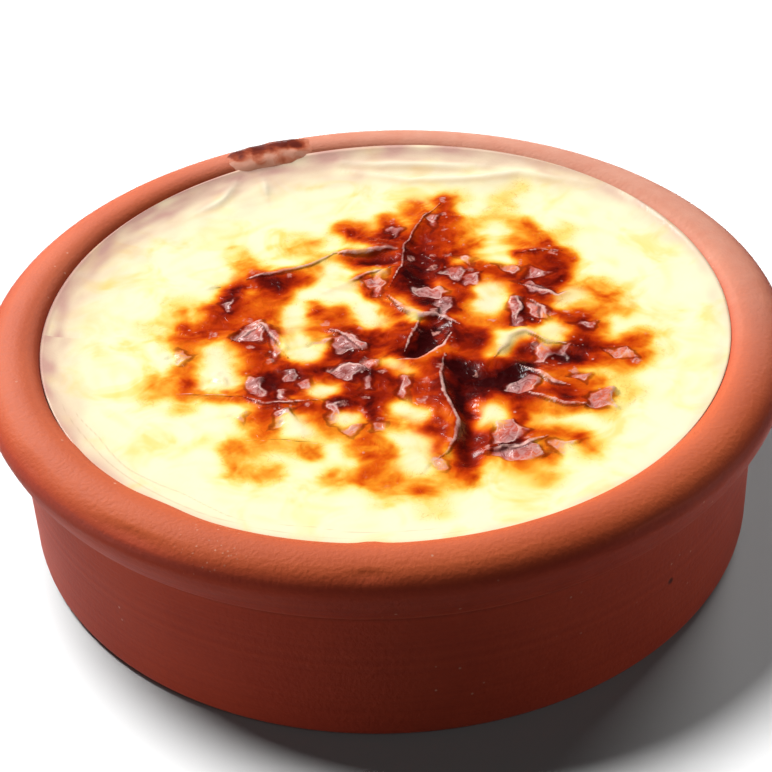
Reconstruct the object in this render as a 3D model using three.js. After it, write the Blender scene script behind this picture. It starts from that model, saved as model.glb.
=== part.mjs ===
// Oven-baked rice pudding in a shallow terracotta dish.
// Millimetres, +Z up, origin on the table under the middle of the dish. Its front is -Y.
import * as THREE from "three";

// Dish: a thrown terracotta bowl with a thick rolled rim
const RIM_RADIUS = 65; // widest point of the rim
const CREST_RADIUS = 59.2; // highest line of the rim
const CREST_HEIGHT = 35.4;
const RIM_MID_HEIGHT = 31.9; // height of the widest point
const RIM_DROP = 6.4; // from the widest point down to the rim's lower edge
const RIM_EDGE_RADIUS = 61.8; // the rim's lower edge
const RIM_FULLNESS = 1.4; // of the rim's lower side: 1 is a straight slope, 2 an ellipse
const LIP_WIDTH = 3.6; // from the crest to the inner wall
const LIP_DEPTH = 2.3; // rounding of the crest on the inside
const WALL_RADIUS = 60.4; // outside of the wall under the rim
const NECK_HEIGHT = 24.8; // where the wall meets the rim
const FOOT_ROUNDING = 2;
const FLOOR_HEIGHT = 6; // thickness of the dish's floor
const FLOOR_ROUNDING = 8; // inside corner between floor and wall
const WALL_DRAFT = 0.055; // inward lean of the inner wall, per mm of depth
const DISH_SIDES = 60;
const ARC_STEPS = 4;

// Pudding: set milk and rice under a baked skin that climbs the wall a little
const GAP = 0.3; // clearance between the pudding and the clay
const LEVEL = 32.4; // the skin between rim and middle
const SKIN_CONTACT = 33.7; // mean height where the skin meets the wall
const CONTACT_TILT_BACK = 0.55; // the skin hangs higher at the back
const CONTACT_TILT_RIGHT = 0.45; // and on the right
const MENISCUS_LENGTH = 3.2; // how fast the skin falls away from the wall
const PUDDING_SIDES = 96;
const SKIN_RINGS = 35;
const EDGE_STEPS = 3; // points up the wall to the skin's edge

// Rice grains lift the skin in low bumps
const GRAIN_COUNT = 110;
const GRAIN_LENGTH = 6.5;
const GRAIN_WIDTH = 2.6;
const GRAIN_RISE = 0.45;
const GRAIN_FIELD = 44; // radius of the zone where they show
const GRAIN_SEED = 7;

// Folds of the shrunken skin. The steep side of a crest is on its left, going along it.
const FOLDS = [
  { crest: [[4, 23], [-8, 22.6], [-13, 18.6], [-27, 13.4]], rise: 1.6, steep: 1.3, gentle: 3 },
  { crest: [[11, 38], [7, 31], [4, 24], [3.5, 17], [1, 11]], rise: 1.7, steep: 1.4, gentle: 2.8 },
  { crest: [[3, 17], [-2, 15.8], [-6, 12.5], [-12, 9.5]], rise: 0.9, steep: 1.4, gentle: 2 },
  { crest: [[12.5, -1], [9, 2], [6, 1.8], [3.5, 4], [1, 8.5]], rise: 1.5, steep: 1.3, gentle: 2.4 },
  { crest: [[6, 1.5], [4.5, -4], [3, -8]], rise: 0.9, steep: 1.2, gentle: 2 },
  { crest: [[1, -10], [5, -10.5], [9.5, -7], [11, -3]], rise: 1.2, steep: 1.3, gentle: 2 },
  { crest: [[9.5, -9], [8.6, -15], [10.6, -27], [7, -36]], rise: 2.2, steep: 1.4, gentle: 3 },
  { crest: [[31, -8.5], [26, -7], [23, -4.2], [20, -5.5], [17, -11]], rise: 1.6, steep: 1.4, gentle: 2.6 },
  { crest: [[28.5, -19], [26, -18.3], [24, -15.5], [21, -12.5]], rise: 1.2, steep: 1.2, gentle: 2 },
  { crest: [[33, -24.5], [27, -24], [23, -21.5], [19, -19]], rise: 1, steep: 1.2, gentle: 2.2 },
  { crest: [[22, 6.3], [22.6, 3], [21.5, -1]], rise: 0.9, steep: 1.2, gentle: 1.8 },
  { crest: [[25, -2], [26.5, 2.5], [24, 6]], rise: 0.9, steep: 1.2, gentle: 1.8 },
  { crest: [[31.5, 20.4], [22.5, 20]], rise: 0.9, steep: 1.2, gentle: 2.4 },
  { crest: [[23, 10.5], [26, 8], [29, 6], [31.5, 8]], rise: 0.9, steep: 1.4, gentle: 1.8 },
  { crest: [[-15, -8.5], [-17, -4], [-20, 1.5], [-25, -3]], rise: 1.1, steep: 1.4, gentle: 2.2 },
  { crest: [[-3, -8], [-6, -3], [-9, -1]], rise: 1, steep: 1.4, gentle: 2 },
  { crest: [[-9, -19.8], [-19, -20.5], [-22, -18.3], [-33, -16.5]], rise: 0.8, steep: 1.4, gentle: 2.2 },
  { crest: [[-23, -29.3], [-16, -30], [-9, -31.3]], rise: 0.6, steep: 1.4, gentle: 2.2 },
  { crest: [[24, -31], [20, -33.5], [14, -33.8]], rise: 0.8, steep: 1.4, gentle: 2.2 },
  { crest: [[-4, 51], [6, 46.2], [16, 45.4], [26, 46.6], [36, 41.5]], rise: 0.9, steep: 2, gentle: 3.4 },
];

// Hollows where the skin has sunk between the folds
const HOLLOWS = [
  { line: [[6.5, 27], [6.5, 17], [8, 11]], depth: 1.5, width: 2.8 },
  { line: [[-4, 20.6], [2, 20]], depth: 1.1, width: 2 },
  { line: [[8, -1], [7.4, -5], [5, -8]], depth: 1.7, width: 2.2 },
  { line: [[12, -13], [15, -16.5], [20, -15.5]], depth: 2.4, width: 2.8 },
  { line: [[12, -18], [12.8, -26], [11.8, -36]], depth: 1.7, width: 2 },
  { line: [[21, -9], [26, -11], [30, -10.6]], depth: 1.2, width: 2.2 },
];

// Milk that boiled over the rim at the back left and baked on
const SPILL_FROM = 103; // degrees round the rim, from +X
const SPILL_TO = 118;
const SPILL_INSIDE = 142; // where it starts and ends across the rim, in degrees round its section
const SPILL_OUTSIDE = 38;
const SPILL_THICKNESS = 1;
const SPILL_EDGE = 0.2;
const SPILL_STEPS = 16;
const SPILL_ACROSS = 8;

const DEGREE = Math.PI / 180;

const terracotta = new THREE.MeshStandardMaterial({ color: 0xb9573a, roughness: 0.85, metalness: 0 });
const milkSkin = new THREE.MeshStandardMaterial({ color: 0xf6dfa0, roughness: 0.35, metalness: 0 });
const scorchedMilk = new THREE.MeshStandardMaterial({ color: 0x8a3a1c, roughness: 0.4, metalness: 0 });

// A point of the rim's section: 180 degrees is its inner side, 90 the crest, 0 the widest point, -90 the lower edge
function rimPoint(degrees, offset = 0) {
  const angle = degrees * DEGREE;
  if (degrees < 0) {
    const across = Math.cos(angle) ** (2 / RIM_FULLNESS);
    const down = Math.sin(-angle) ** (2 / RIM_FULLNESS);
    const out = RIM_EDGE_RADIUS + (RIM_RADIUS - RIM_EDGE_RADIUS) * across;
    return new THREE.Vector2(out, RIM_MID_HEIGHT - RIM_DROP * down);
  }
  const inside = degrees > 90;
  const reach = (inside ? LIP_WIDTH : RIM_RADIUS - CREST_RADIUS) + offset;
  const fall = (inside ? LIP_DEPTH : CREST_HEIGHT - RIM_MID_HEIGHT) + offset;
  const height = (inside ? CREST_HEIGHT - LIP_DEPTH : RIM_MID_HEIGHT) + fall * Math.sin(angle);
  return new THREE.Vector2(CREST_RADIUS + reach * Math.cos(angle), height);
}

// Radius of the dish's inside at a height above the floor's rounding, less a clearance
function insideRadius(height, clearance) {
  const lipStart = CREST_HEIGHT - LIP_DEPTH;
  const lipRadius = CREST_RADIUS - LIP_WIDTH;
  if (height <= lipStart) return lipRadius - WALL_DRAFT * (lipStart - height) - clearance;
  const climb = (height - lipStart) / (LIP_DEPTH + clearance);
  return CREST_RADIUS - (LIP_WIDTH + clearance) * Math.sqrt(1 - climb * climb);
}

// The inside of the dish from its wall down to the middle of its floor, moved inwards by a clearance
function insideProfile(clearance) {
  const bottom = FLOOR_HEIGHT + clearance;
  const corner = insideRadius(FLOOR_HEIGHT + FLOOR_ROUNDING, clearance);
  const rounding = FLOOR_ROUNDING - clearance;
  const points = [];
  for (let step = 0; step <= ARC_STEPS; step++) {
    const angle = (step / ARC_STEPS) * 90 * DEGREE;
    const inward = rounding * (1 - Math.cos(angle));
    points.push(new THREE.Vector2(corner - inward, bottom + rounding * (1 - Math.sin(angle))));
  }
  points.push(new THREE.Vector2(0, bottom));
  return points;
}

function makeDish() {
  const profile = [new THREE.Vector2(0, 0)];
  for (let step = 0; step <= ARC_STEPS; step++) {
    const angle = (step / ARC_STEPS) * 90 * DEGREE;
    const out = WALL_RADIUS - FOOT_ROUNDING * (1 - Math.sin(angle));
    profile.push(new THREE.Vector2(out, FOOT_ROUNDING * (1 - Math.cos(angle))));
  }
  profile.push(new THREE.Vector2(WALL_RADIUS, NECK_HEIGHT));
  const outerSteps = 3 * ARC_STEPS;
  for (let step = 0; step < outerSteps; step++) {
    profile.push(rimPoint(-90 + (180 * step) / outerSteps));
  }
  for (let step = 0; step <= ARC_STEPS; step++) profile.push(rimPoint(90 + (90 * step) / ARC_STEPS));
  profile.push(...insideProfile(0));
  const geometry = new THREE.LatheGeometry(profile, DISH_SIDES);
  geometry.rotateX(Math.PI / 2);
  const dish = new THREE.Mesh(geometry, terracotta);
  dish.name = "clay_dish";
  return dish;
}

// Distance from a point to a line, positive on the line's left, with the share of the line passed
function distanceToLine(line, x, y) {
  let best = { distance: Infinity, share: 0 };
  for (let i = 0; i < line.length - 1; i++) {
    const [ax, ay] = line[i];
    const dx = line[i + 1][0] - ax;
    const dy = line[i + 1][1] - ay;
    const along = ((x - ax) * dx + (y - ay) * dy) / (dx * dx + dy * dy);
    const t = THREE.MathUtils.clamp(along, 0, 1);
    const distance = Math.hypot(x - ax - t * dx, y - ay - t * dy);
    if (distance < Math.abs(best.distance)) {
      const side = dx * (y - ay) - dy * (x - ax) >= 0 ? 1 : -1;
      best = { distance: side * distance, share: (i + t) / (line.length - 1) };
    }
  }
  return best;
}

const bell = (distance, width) => Math.exp(-((distance / width) ** 2));

// Grains scattered under the skin: place and direction of each
function scatterGrains() {
  let state = GRAIN_SEED;
  const random = () => {
    state = (state * 16807) % 2147483647;
    return state / 2147483647;
  };
  return Array.from({ length: GRAIN_COUNT }, () => {
    const radius = GRAIN_FIELD * Math.sqrt(random());
    const bearing = 2 * Math.PI * random();
    return { x: radius * Math.cos(bearing), y: radius * Math.sin(bearing), turn: Math.PI * random() };
  });
}

const grains = scatterGrains();

// Height of the skin above its level, from the folds, the hollows and the grains under it
function skinRelief(x, y) {
  let height = 0;
  for (const { crest, rise, steep, gentle } of FOLDS) {
    const { distance, share } = distanceToLine(crest, x, y);
    const taper = 0.45 + 0.55 * Math.sin(Math.PI * THREE.MathUtils.clamp(share, 0.05, 0.95));
    height = Math.max(height, rise * taper * bell(distance, distance > 0 ? steep : gentle));
  }
  for (const { line, depth, width } of HOLLOWS) {
    height -= depth * bell(distanceToLine(line, x, y).distance, width);
  }
  let bump = 0;
  for (const grain of grains) {
    const cos = Math.cos(grain.turn);
    const sin = Math.sin(grain.turn);
    const along = ((x - grain.x) * cos + (y - grain.y) * sin) / (GRAIN_LENGTH / 2);
    const across = ((y - grain.y) * cos - (x - grain.x) * sin) / (GRAIN_WIDTH / 2);
    bump = Math.max(bump, GRAIN_RISE * Math.exp(-(along * along) - across * across));
  }
  return height + bump;
}

// Height where the skin meets the wall, by the direction from the middle
function contactHeight(bearing) {
  const tilt = CONTACT_TILT_BACK * Math.sin(bearing) + CONTACT_TILT_RIGHT * Math.cos(bearing);
  return SKIN_CONTACT + tilt;
}

function makePudding() {
  // The plain section, from the middle of the bottom up the wall and over the skin to the middle
  const section = insideProfile(GAP).reverse();
  const wallIndex = section.length;
  const edgeIndex = wallIndex + EDGE_STEPS;
  const plainRadius = insideRadius(LEVEL, GAP);
  for (let step = 0; step < EDGE_STEPS; step++) section.push(new THREE.Vector2(plainRadius, LEVEL));
  for (let ring = 0; ring <= SKIN_RINGS; ring++) {
    section.push(new THREE.Vector2(plainRadius * (1 - ring / SKIN_RINGS), LEVEL));
  }
  const geometry = new THREE.LatheGeometry(section, PUDDING_SIDES);
  geometry.rotateX(Math.PI / 2);

  // The skin's edge climbs the wall, and the skin takes its relief
  const position = geometry.getAttribute("position");
  for (let index = 0; index < position.count; index++) {
    const row = index % section.length;
    if (row < wallIndex) continue;
    const turn = Math.floor(index / section.length) % PUDDING_SIDES;
    const bearing = (turn / PUDDING_SIDES) * 2 * Math.PI - Math.PI / 2;
    const edgeHeight = contactHeight(bearing);
    const edgeRadius = insideRadius(edgeHeight, GAP);
    let radius;
    let height;
    if (row <= edgeIndex) {
      height = THREE.MathUtils.lerp(LEVEL, edgeHeight, (row - wallIndex) / EDGE_STEPS);
      radius = insideRadius(height, GAP);
    } else {
      radius = edgeRadius * (1 - (row - edgeIndex) / SKIN_RINGS);
      const climb = (edgeHeight - LEVEL) * Math.exp((radius - edgeRadius) / MENISCUS_LENGTH);
      height = LEVEL + climb + skinRelief(radius * Math.cos(bearing), radius * Math.sin(bearing));
    }
    position.setXYZ(index, radius * Math.cos(bearing), radius * Math.sin(bearing), height);
  }
  const pudding = new THREE.Mesh(geometry, milkSkin);
  pudding.name = "rice_pudding";
  return pudding;
}

function makeSpill() {
  // A unit slab laid over the rim: its width runs round the rim, its depth across it, its height off the clay
  const geometry = new THREE.BoxGeometry(1, 1, 1, SPILL_STEPS, SPILL_ACROSS, 1);
  const position = geometry.getAttribute("position");
  for (let index = 0; index < position.count; index++) {
    const round = position.getX(index) + 0.5;
    const across = position.getY(index) + 0.5;
    const belly = Math.sin(Math.PI * round);
    const outside = THREE.MathUtils.lerp(90, SPILL_OUTSIDE, belly);
    const section = THREE.MathUtils.lerp(outside, SPILL_INSIDE, across);
    const swell = Math.sin(Math.PI * across) * belly;
    const thickness = SPILL_EDGE + (SPILL_THICKNESS - SPILL_EDGE) * swell;
    const offset = GAP + (position.getZ(index) > 0 ? thickness : 0);
    const point = rimPoint(section, offset);
    const bearing = THREE.MathUtils.lerp(SPILL_FROM, SPILL_TO, round) * DEGREE;
    position.setXYZ(index, point.x * Math.cos(bearing), point.x * Math.sin(bearing), point.y);
  }
  const spill = new THREE.Mesh(geometry, scorchedMilk);
  spill.name = "rim_spill";
  return spill;
}

const ricePudding = new THREE.Group();
ricePudding.add(makeDish(), makePudding(), makeSpill());

export default ricePudding;
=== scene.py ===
import math

import bpy
import numpy as np
from mathutils import Matrix, Vector, noise


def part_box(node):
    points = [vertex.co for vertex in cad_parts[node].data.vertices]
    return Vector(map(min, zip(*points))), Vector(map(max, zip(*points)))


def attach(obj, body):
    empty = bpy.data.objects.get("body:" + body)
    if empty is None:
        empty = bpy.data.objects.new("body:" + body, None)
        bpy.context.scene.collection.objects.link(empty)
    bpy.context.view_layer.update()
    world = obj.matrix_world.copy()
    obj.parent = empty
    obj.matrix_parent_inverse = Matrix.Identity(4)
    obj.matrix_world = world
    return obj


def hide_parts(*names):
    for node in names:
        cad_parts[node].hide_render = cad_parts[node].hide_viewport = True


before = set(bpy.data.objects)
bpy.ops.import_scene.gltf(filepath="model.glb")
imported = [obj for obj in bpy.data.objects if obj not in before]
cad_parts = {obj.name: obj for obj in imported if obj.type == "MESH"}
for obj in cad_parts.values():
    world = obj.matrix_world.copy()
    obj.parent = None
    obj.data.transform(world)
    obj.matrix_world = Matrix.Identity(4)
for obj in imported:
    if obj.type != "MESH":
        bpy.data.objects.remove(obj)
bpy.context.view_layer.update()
MM = 0.001

# The clay dish
# A shallow bowl of unglazed red terracotta, thrown on a wheel: thick wall, flat foot and a rim
# rolled outwards over a small groove. The clay is matt, finely gritty and marked by the thrower's hands.

_, dish_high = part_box("clay_dish")
RIM_RADIUS = dish_high.x
CREST_HEIGHT = dish_high.z
CREST_RADIUS = RIM_RADIUS - 5.8 * MM
RIM_MID_HEIGHT = CREST_HEIGHT - 3.5 * MM
RIM_DROP = 6.4 * MM
RIM_EDGE_RADIUS = RIM_RADIUS - 3.2 * MM
RIM_FULLNESS = 1.4
LIP_WIDTH = 3.6 * MM
LIP_DEPTH = 2.3 * MM
WALL_RADIUS = RIM_RADIUS - 4.6 * MM
NECK_HEIGHT = CREST_HEIGHT - 10.6 * MM
FOOT_ROUNDING = 2 * MM
FLOOR_HEIGHT = 6 * MM
FLOOR_ROUNDING = 8 * MM
WALL_DRAFT = 0.055
DISH_SIDES = 288

# Dents knocked into the rim: bearing in degrees, height, half length in degrees, half breadth, depth
NICKS = [(235, 34.2 * MM, 5, 0.5 * MM, 0.55 * MM), (267, 34.5 * MM, 1.8, 0.35 * MM, 0.5 * MM),
         (214, 34.4 * MM, 3, 0.5 * MM, 0.3 * MM), (305, 33.2 * MM, 4, 0.4 * MM, 0.25 * MM)]
# A pit in the wall painted as a dark spot of shade, a cluster of pale grains on the rim, and the side where
# the rim's top gets a painted sheen
PIT = Vector((41.2, -44.2, 14.0)) * MM
GRAINS = Vector((-25.0, -55.5, 34.8)) * MM
SHEEN_SIDE = Vector((0.6, 0.8, 0.0))


def bare():
    """Leaves edit mode and deselects everything."""
    if bpy.context.mode != "OBJECT":
        bpy.ops.object.mode_set(mode="OBJECT")
    bpy.ops.object.select_all(action="DESELECT")


def rim_point(degrees, offset=0.0):
    """A point of the rim's section: 180 is inside, 90 the crest, 0 the widest, -90 the lower edge."""
    angle = math.radians(degrees)
    if degrees < 0:
        across = math.cos(angle) ** (2 / RIM_FULLNESS)
        down = math.sin(-angle) ** (2 / RIM_FULLNESS)
        return RIM_EDGE_RADIUS + (RIM_RADIUS - RIM_EDGE_RADIUS) * across, RIM_MID_HEIGHT - RIM_DROP * down
    if degrees > 90:
        reach, fall, middle = LIP_WIDTH, LIP_DEPTH, CREST_HEIGHT - LIP_DEPTH
    else:
        reach, fall, middle = RIM_RADIUS - CREST_RADIUS, CREST_HEIGHT - RIM_MID_HEIGHT, RIM_MID_HEIGHT
    return CREST_RADIUS + (reach + offset) * math.cos(angle), middle + (fall + offset) * math.sin(angle)


def inside_radius(height):
    """Radius of the dish's inside at a height above the floor's rounding."""
    lip_start = CREST_HEIGHT - LIP_DEPTH
    if height <= lip_start:
        return CREST_RADIUS - LIP_WIDTH - WALL_DRAFT * (lip_start - height)
    climb = (height - lip_start) / LIP_DEPTH
    return CREST_RADIUS - LIP_WIDTH * math.sqrt(max(0.0, 1 - climb * climb))


def dish_profile():
    """Radius and height of each ring, from the foot up the wall, over the rim and down to the floor."""
    rings = []
    for step in range(7):
        angle = math.radians(90 * step / 6)
        rings.append((WALL_RADIUS - FOOT_ROUNDING * (1 - math.sin(angle)),
                      FOOT_ROUNDING * (1 - math.cos(angle))))
    wall_rings = 16
    for step in range(1, wall_rings + 1):
        rings.append((WALL_RADIUS, FOOT_ROUNDING + (NECK_HEIGHT - FOOT_ROUNDING) * step / wall_rings))
    edge_radius, edge_height = rim_point(-90)
    for share in (0.35, 0.7):
        rings.append((WALL_RADIUS + (edge_radius - WALL_RADIUS) * share,
                      NECK_HEIGHT + (edge_height - NECK_HEIGHT) * share ** 2))
    rim_steps = 45
    for step in range(rim_steps + 1):
        rings.append(rim_point(-90 + 270 * step / rim_steps))
    corner = inside_radius(FLOOR_HEIGHT + FLOOR_ROUNDING)
    for step in range(7):
        angle = math.radians(90 * step / 6)
        rings.append((corner - FLOOR_ROUNDING * (1 - math.cos(angle)),
                      FLOOR_HEIGHT + FLOOR_ROUNDING * (1 - math.sin(angle))))
    return rings


def throw_dish():
    """Pulls a ring of clay up from the foot along the dish's section."""
    rings = dish_profile()
    bare()
    bpy.ops.mesh.primitive_circle_add(vertices=DISH_SIDES, radius=rings[0][0], fill_type="NGON")
    dish = bpy.context.object
    dish.name = "terracotta_dish"
    bpy.ops.object.mode_set(mode="EDIT")
    bpy.ops.mesh.select_mode(type="EDGE")
    bpy.ops.mesh.select_all(action="DESELECT")
    bpy.ops.mesh.select_non_manifold()
    for (radius, height), (next_radius, next_height) in zip(rings, rings[1:]):
        bpy.ops.mesh.extrude_edges_move(TRANSFORM_OT_translate={"value": (0, 0, next_height - height)})
        scale = next_radius / radius
        bpy.ops.transform.resize(value=(scale, scale, 1), center_override=(0, 0, next_height))
    bpy.ops.mesh.edge_face_add()
    bpy.ops.mesh.select_all(action="SELECT")
    bpy.ops.mesh.normals_make_consistent(inside=False)
    bare()
    for vertex in dish.data.vertices:
        bearing = math.degrees(math.atan2(vertex.co.y, vertex.co.x)) % 360
        for middle, height, length, breadth, depth in NICKS:
            away = ((bearing - middle) / length) ** 2 + ((vertex.co.z - height) / breadth) ** 2
            pull = 1 - depth * math.exp(-away) / RIM_RADIUS
            vertex.co.x *= pull
            vertex.co.y *= pull
    return dish


dish = throw_dish()
dish.select_set(True)
bpy.context.view_layer.objects.active = dish
bpy.ops.object.shade_smooth_by_angle(angle=math.radians(50))


class Value:
    """A socket that can be added, multiplied and so on; each operation puts in a Math node."""

    def __init__(self, finish, socket):
        self.finish, self.socket = finish, socket

    def _math(self, operation, *inputs):
        return self.finish.add("ShaderNodeMath", {"operation": operation}, dict(enumerate(inputs)))

    def __add__(self, other):
        return self._math("ADD", self, other)

    def __radd__(self, other):
        return self._math("ADD", other, self)

    def __sub__(self, other):
        return self._math("SUBTRACT", self, other)

    def __rsub__(self, other):
        return self._math("SUBTRACT", other, self)

    def __mul__(self, other):
        return self._math("MULTIPLY", self, other)

    def __rmul__(self, other):
        return self._math("MULTIPLY", other, self)

    def __abs__(self):
        return self._math("ABSOLUTE", self)

    def clamp(self):
        return self.finish.add("ShaderNodeClamp", {}, {"Value": self})

    def between(self, low, high):
        """0 below low, 1 above high, smooth in between."""
        return self.finish.add("ShaderNodeMapRange", {"interpolation_type": "SMOOTHSTEP"},
                               {"Value": self, "From Min": low, "From Max": high})


class Finish:
    """A material in the making. add() puts in a node, sets it, links it and returns one output."""

    def __init__(self, name):
        self.material = bpy.data.materials.new(name)
        self.material.use_nodes = True
        self.tree = self.material.node_tree
        self.shader = self.tree.nodes["Principled BSDF"]
        self.place = self.add("ShaderNodeTexCoord", output="Object")

    def add(self, kind, settings=None, inputs=None, output=0):
        made = self.tree.nodes.new(kind)
        for key, value in (settings or {}).items():
            if key == "stops":
                while len(made.color_ramp.elements) < len(value):
                    made.color_ramp.elements.new(1.0)
                for element, (position, colour) in zip(made.color_ramp.elements, value):
                    element.position, element.color = position, (*colour, 1.0)
            else:
                setattr(made, key, value)
        for key, value in (inputs or {}).items():
            self.put(made.inputs[key], value)
        return Value(self, made.outputs[output])

    def put(self, socket, value):
        if isinstance(value, Value):
            self.tree.links.new(value.socket, socket)
        else:
            socket.default_value = value

    def set(self, **inputs):
        """Sets or links the shader's own sockets; an underscore stands for a space."""
        for key, value in inputs.items():
            self.put(self.shader.inputs[key.replace("_", " ")], value)

    def noise(self, scale, detail=3.0, roughness=0.55, distortion=0.0):
        return self.add("ShaderNodeTexNoise", {}, {"Vector": self.place, "Scale": scale, "Detail": detail,
                                                   "Roughness": roughness, "Distortion": distortion})

    def cells(self, scale):
        """Cells of a size: the distance from each one's middle, and a random value for each."""
        inputs = {"Vector": self.place, "Scale": scale}
        distance = self.add("ShaderNodeTexVoronoi", {}, inputs, output="Distance")
        tint = self.add("ShaderNodeTexVoronoi", {}, inputs, output="Color")
        return distance, self.add("ShaderNodeSeparateColor", {}, {"Color": tint})

    def place_by(self, operation, other):
        """The distance of a place from a point, or how far it lies in a direction."""
        return self.add("ShaderNodeVectorMath", {"operation": operation}, {0: self.place, 1: other},
                        output="Value")

    def laid(self, name):
        """Values laid on the mesh's points."""
        return self.add("ShaderNodeAttribute", {"attribute_name": name}, output="Fac")

    def ramp(self, share, stops):
        """A run of colours, each with its position."""
        return self.add("ShaderNodeValToRGB", {"stops": stops}, {"Fac": share})

    def mix(self, share, first, second):
        """A blend of two colours."""
        return self.add("ShaderNodeMix", {"data_type": "RGBA"}, {0: share, 6: first, 7: second}, output=2)

    def bump(self, height, distance, strength=1.0):
        return self.add("ShaderNodeBump", {}, {"Height": height, "Distance": distance, "Strength": strength})


def srgb(red, green, blue):
    """A colour as it is seen, from 0 to 255, as the linear values that shaders use."""
    def linear(c):
        c /= 255
        return c / 12.92 if c <= 0.04045 else ((c + 0.055) / 1.055) ** 2.4
    return linear(red), linear(green), linear(blue)


def colour(red, green, blue):
    return (*srgb(red, green, blue), 1.0)


def terracotta_finish():
    clay = Finish("terracotta")
    height = clay.add("ShaderNodeSeparateXYZ", {}, {"Vector": clay.place}, output="Z")
    clouds = clay.noise(38, detail=4)
    grit = clay.noise(1500, detail=2)
    rings = clay.add("ShaderNodeTexNoise", {"noise_dimensions": "1D"},
                     {"W": height * 900 + clouds * 0.8, "Scale": 1.0, "Detail": 3.0})
    cells, chosen = clay.cells(560)
    specks = (1 - cells.between(0.06, 0.16)) * chosen.between(0.8, 0.84) * clouds.between(0.48, 0.6)
    tone = (clouds * 0.6 + rings * 0.25 + grit * 0.25).between(0.35, 0.75)
    body = clay.mix(tone, colour(182, 64, 44), colour(202, 78, 52))
    # Painted light: near the crest the clay turns a lighter, more orange copy of itself, as the lit top
    # looks
    lit_top = clay.mix(tone, colour(210, 90, 44), colour(228, 106, 56))
    # Painted sheen: towards the back right the rim's top turns pale pink, standing in for light reflected
    # there
    back = clay.place_by("DOT_PRODUCT", SHEEN_SIDE).between(5 * MM, 62 * MM)
    lit_top = clay.mix(back * (0.35 + 0.4 * clay.noise(300, detail=3)), lit_top, colour(246, 190, 164))
    body = clay.mix(height.between(CREST_HEIGHT - 2.4 * MM, CREST_HEIGHT - 0.3 * MM), body, lit_top)
    body = clay.mix(specks * 0.55, body, colour(246, 196, 168))
    near = 1 - clay.place_by("DISTANCE", GRAINS).between(1 * MM, 7 * MM)
    dots = clay.add("ShaderNodeTexVoronoi", {}, {"Vector": clay.place, "Scale": 1300.0}, output="Distance")
    grains = (1 - dots.between(0.14, 0.26)) * near * chosen.between(0.5, 0.54)
    body = clay.mix(grains * 0.4, body, colour(252, 206, 178))
    rim_edge = RIM_MID_HEIGHT - RIM_DROP
    # Painted highlight: a lighter line along the rim's lower edge
    edge_highlight = 1 - abs(height - rim_edge).between(0.15 * MM, 0.8 * MM)
    body = clay.mix(edge_highlight * 0.5, body, colour(236, 128, 96))
    # Painted shade: a dark line in the groove just under the rim
    groove_shade = 1 - abs(height - (rim_edge - 1.2 * MM)).between(0.2 * MM, 1.0 * MM)
    body = clay.mix(groove_shade * 0.35, body, colour(112, 32, 22))
    # Painted shade: a near-black spot where a small pit in the wall would be dark; the mesh has no hollow
    # there
    pit_shade = 1 - clay.place_by("DISTANCE", PIT).between(0.3 * MM, 0.8 * MM)
    body = clay.mix(pit_shade * 0.85, body, colour(40, 12, 10))
    relief = grit * 0.5 + rings * 0.4 + clay.noise(420, detail=2) * 0.2
    clay.set(Base_Color=body, Roughness=0.5 + 0.12 * grit, Specular_IOR_Level=0.14,
             Normal=clay.bump(relief, 0.00028, 0.5))
    return clay.material


dish.data.materials.append(terracotta_finish())
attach(dish, "root")
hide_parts("clay_dish")

# The pudding
# Milk thickened with rice, set in the dish and browned under a hot grill. Its skin shrinks, folds and
# sinks as it cools, and is cream at the wall and caramel to near black where the heat caught it.

SKIN_CELLS = 300
# Heights of the skin in the middle and where it meets the wall, which is higher at the back and the right;
# film climbs the wall further along the back
LEVEL = 32.4 * MM
SKIN_CONTACT = 33.7 * MM
CONTACT_TILT_BACK = 0.55 * MM
CONTACT_TILT_RIGHT = 0.45 * MM
CONTACT_CLIMB = 0.5 * MM
MENISCUS_LENGTH = 3.2 * MM
WALL_TOUCH = 0.15 * MM
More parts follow.
